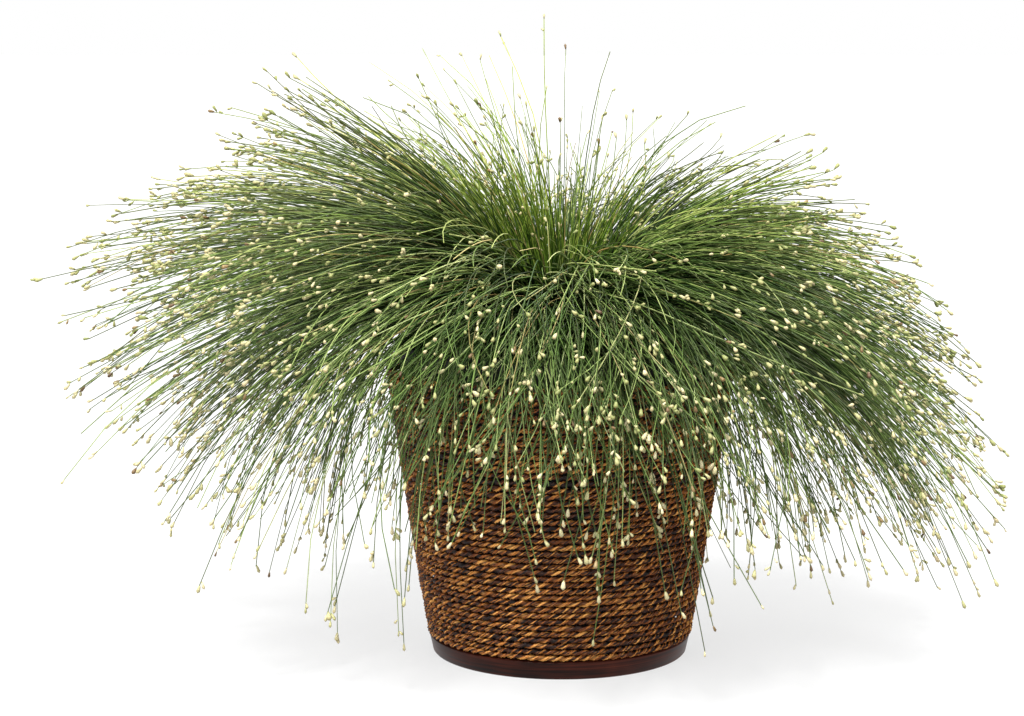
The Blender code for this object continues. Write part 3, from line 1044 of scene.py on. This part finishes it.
def stem_material(name, base_shade, colours):
    """Painted shade darkens the base, the tip is paler, and painted light and young growth brighten stems
    high up.
    """
    made, tree, shader = new_material(name)
    dark, middle, light, tip_colour = colours
    along = attribute(tree, "along")
    place = object_place(tree)
    stops = [(0.00, dark), (0.40, middle), (0.74, light), (0.925, tip_colour), *DRY_STEMS]
    colour = ramp(tree, attribute(tree, "tone"), stops)
    towards_tip = calculate(tree, "MULTIPLY", calculate(tree, "POWER", along, 3.0), 0.28)
    colour = mixed(tree, towards_tip, colour, tip_colour)
    # Painted shade: the bases, which their dense neighbours shade, are darkened to base_shade of their
    # colour.
    shaded = ramp(tree, along, [(0.0, grey(base_shade)), (0.34, WHITE)])
    colour = mixed(tree, 1.0, colour, shaded, "MULTIPLY")
    # Painted light with young growth: stems high over the plant are made brighter and yellower, as the top is
    # lit and its young growth is paler.
    above = calculate(tree, "SUBTRACT", height_of(tree, place), 0.18)
    young_and_top_light = calculate(tree, "MULTIPLY", above, 9.0, clamp=True)
    colour = mixed(tree, young_and_top_light, colour, (1.75, 1.45, 1.10), "MULTIPLY")
    mottling = ramp(tree, noise(tree, place, 260.0, detail=2.0), [(0.30, grey(0.55)), (0.70, grey(1.30))])
    colour = mixed(tree, 0.55, colour, mottling, "MULTIPLY")
    ridges = noise(tree, stretched(tree, place, (1.0, 1.0, 0.25)), 2600.0, detail=1.0)
    looks = {
        "Base Color": colour,
        "Roughness": 0.36,
        "Specular IOR Level": 0.11,
        "Normal": bumped(tree, ridges, strength=0.25, distance=0.0001),
    }
    set_inputs(tree, shader, looks)
    return made


def head_material():
    """Green, cream or brown heads, greener at the base and browner at the tip, with scales."""
    made, tree, shader = new_material("seed_heads")
    pale = ramp(
        tree,
        attribute(tree, "tone"),
        [
            (0.00, (0.130, 0.170, 0.042)),
            (0.25, (0.240, 0.262, 0.092)),
            (0.60, (0.390, 0.372, 0.196)),
            (0.92, (0.560, 0.510, 0.330)),
            (0.97, (0.200, 0.130, 0.045)),
            (1.00, (0.075, 0.040, 0.014)),
        ],
    )
    base = ramp(
        tree,
        attribute(tree, "along"),
        [
            (0.0, (0.60, 0.66, 0.34)),
            (0.35, WHITE),
            (0.85, (1.0, 0.97, 0.90)),
            (1.0, (0.75, 0.60, 0.42)),
        ],
    )
    colour = mixed(tree, 1.0, pale, base, "MULTIPLY")
    cells = {"Vector": object_place(tree), "Scale": 1150.0}
    scales = add_node(tree, "ShaderNodeTexVoronoi", cells, feature="DISTANCE_TO_EDGE").outputs["Distance"]
    edges = ramp(tree, scales, [(0.02, (0.55, 0.46, 0.30)), (0.16, WHITE)])
    looks = {
        "Base Color": mixed(tree, 0.6, colour, edges, "MULTIPLY"),
        "Roughness": 0.6,
        "Normal": bumped(tree, scales, strength=0.6, distance=0.0002),
    }
    set_inputs(tree, shader, looks)
    return made


def rope_material():
    """Plies, courses and fibres of many browns, lighter low on the basket from a painted highlight, and dark
    in the grooves from painted shade.
    """
    made, tree, shader = new_material("twisted_rope")
    place = attribute(tree, "rope_place", "Vector")
    fibres = noise(tree, stretched(tree, place, (240.0, 6.0, 6.0)), 1.0, detail=3.0, roughness=0.65)
    plies = noise(tree, stretched(tree, place, (55.0, 1.3, 1.3)), 1.0, detail=1.0)
    courses = noise(tree, stretched(tree, place, (7.0, 0.25, 0.25)), 1.0, detail=2.0)
    # Painted highlight: the rope is made lighter and more golden low on the basket.
    below = calculate(tree, "SUBTRACT", 0.100, height_of(tree, object_place(tree)))
    level = calculate(tree, "MULTIPLY_ADD", plies, 1.15, -0.375)
    for part, weight in (
        (courses, 0.60),
        (calculate(tree, "SUBTRACT", fibres, 0.5), 0.70),
        (below, 0.10),
    ):
        level = calculate(tree, "ADD", level, calculate(tree, "MULTIPLY", part, weight))
    colour = ramp(
        tree,
        level,
        [
            (0.26, (0.002, 0.001, 0.001)),
            (0.38, (0.014, 0.004, 0.002)),
            (0.46, (0.064, 0.014, 0.003)),
            (0.53, (0.190, 0.048, 0.006)),
            (0.61, (0.400, 0.132, 0.018)),
            (0.73, (0.700, 0.345, 0.085)),
        ],
    )
    # Painted shade: the grooves between the plies are darkened.
    painted_groove_shade = ramp(tree, attribute(tree, "crest"), [(0.0, (0.05, 0.035, 0.03)), (0.70, WHITE)])
    looks = {
        "Base Color": mixed(tree, 0.9, colour, painted_groove_shade, "MULTIPLY"),
        "Roughness": 0.38,
        "Specular IOR Level": 0.24,
        "Normal": bumped(tree, fibres, strength=0.7, distance=0.0003),
    }
    set_inputs(tree, shader, looks)
    return made


def wood_material():
    made, tree, shader = new_material("stained_wood")
    place = object_place(tree)
    lengthwise = stretched(tree, place, (14.0, 14.0, 620.0))
    grain = noise(tree, lengthwise, 1.0, detail=4.0, roughness=0.6, distortion=0.4)
    patches = noise(tree, place, 45.0, detail=2.0)
    weighted = [calculate(tree, "MULTIPLY", grain, 0.75), calculate(tree, "MULTIPLY", patches, 0.3)]
    colour = ramp(
        tree,
        calculate(tree, "ADD", *weighted),
        [
            (0.30, (0.002, 0.001, 0.001)),
            (0.46, (0.011, 0.003, 0.002)),
            (0.60, (0.040, 0.008, 0.004)),
            (0.76, (0.088, 0.020, 0.010)),
        ],
    )
    looks = {
        "Base Color": colour,
        "Roughness": calculate(tree, "MULTIPLY_ADD", grain, 0.25, 0.24),
        "Specular IOR Level": 0.12,
        "Normal": bumped(tree, grain, strength=0.35, distance=0.0002),
    }
    set_inputs(tree, shader, looks)
    return made


def plastic_material():
    """Dark grey plastic with a film of dust."""
    made, tree, shader = new_material("grey_plastic")
    place = object_place(tree)
    dust = noise(tree, place, 70.0, detail=4.0)
    colour = ramp(
        tree,
        dust,
        [
            (0.35, (0.008, 0.009, 0.011)),
            (0.62, (0.015, 0.016, 0.018)),
            (0.80, (0.040, 0.038, 0.036)),
        ],
    )
    grain = noise(tree, place, 1800.0, detail=2.0)
    looks = {
        "Base Color": colour,
        "Roughness": calculate(tree, "MULTIPLY_ADD", dust, 0.3, 0.42),
        "Specular IOR Level": 0.22,
        "Normal": bumped(tree, grain, strength=0.12, distance=0.0001),
    }
    set_inputs(tree, shader, looks)
    return made


def soil_material():
    """Dark soil with a few pale crumbs."""
    made, tree, shader = new_material("potting_soil")
    crumbs = noise(tree, object_place(tree), 420.0, detail=5.0, roughness=0.7)
    colour = ramp(
        tree,
        crumbs,
        [
            (0.30, (0.008, 0.005, 0.004)),
            (0.52, (0.030, 0.019, 0.012)),
            (0.66, (0.070, 0.045, 0.028)),
            (0.76, (0.300, 0.270, 0.230)),
        ],
    )
    looks = {
        "Base Color": colour,
        "Roughness": 0.95,
        "Normal": bumped(tree, crumbs, strength=1.0, distance=0.0015),
    }
    set_inputs(tree, shader, looks)
    return made


# Studio


def add_floor():
    made, tree, shader = new_material("studio_floor")
    looks = {
        "Base Color": (*grey(FLOOR_SHADE), 1.0),
        "Emission Color": (*WHITE, 1.0),
        "Emission Strength": FLOOR_GLOW,
        "Roughness": 0.9,
        "Specular IOR Level": 0.1,
    }
    set_inputs(tree, shader, looks)
    half = FLOOR_SIDE / 2
    corners = [(-half, -half, 0), (half, -half, 0), (half, half, 0), (-half, half, 0)]
    floor = add_mesh("studio_floor", corners, [(0, 1, 2, 3)], [made])


def add_lights():
    """A white world and four suns."""
    world = bpy.data.worlds.new("studio")
    bpy.context.scene.world = world
    world.use_nodes = True
    background = world.node_tree.nodes["Background"]
    set_inputs(world.node_tree, background, {"Color": (*WHITE, 1.0), "Strength": 1.0})
    for name, (across, along, up), softness, strength in SUNS:
        light = bpy.data.lights.new(name, "SUN")
        light.energy = strength
        light.angle = math.radians(softness)
        lamp = bpy.data.objects.new(name, light)
        bpy.context.scene.collection.objects.link(lamp)
        lamp.rotation_euler = (
            math.atan2(math.hypot(across, along), up),
            0.0,
            math.atan2(-along, -across) - math.pi / 2,
        )


def add_camera():
    bpy.context.scene.view_settings.view_transform = "Standard"
    camera = bpy.data.objects.new("camera", bpy.data.cameras.new("camera"))
    camera.data.lens = CAMERA_LENS
    camera.location = CAMERA_PLACE
    camera.rotation_euler = (math.radians(90 - CAMERA_DOWN), 0.0, 0.0)
    bpy.context.scene.collection.objects.link(camera)
    bpy.context.scene.camera = camera


add_floor()
add_lights()
add_camera()
rope_finish = rope_material()
wood_finish = wood_material()
make_rope(rope_finish)
make_band(wood_finish)
make_liner(plastic_material())
make_soil(soil_material())
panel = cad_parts["base_panel"]
for material_slot in panel.material_slots:
    material_slot.material = wood_finish
make_plant(
    stem_material("green_stems", GREEN_BASE_SHADE, GREEN_STEMS),
    # The upright stems' lighter finish is painted light shining through them.
    stem_material("light_green_stems", BACKLIT_BASE_SHADE, BACKLIT_STEMS),
    head_material(),
)
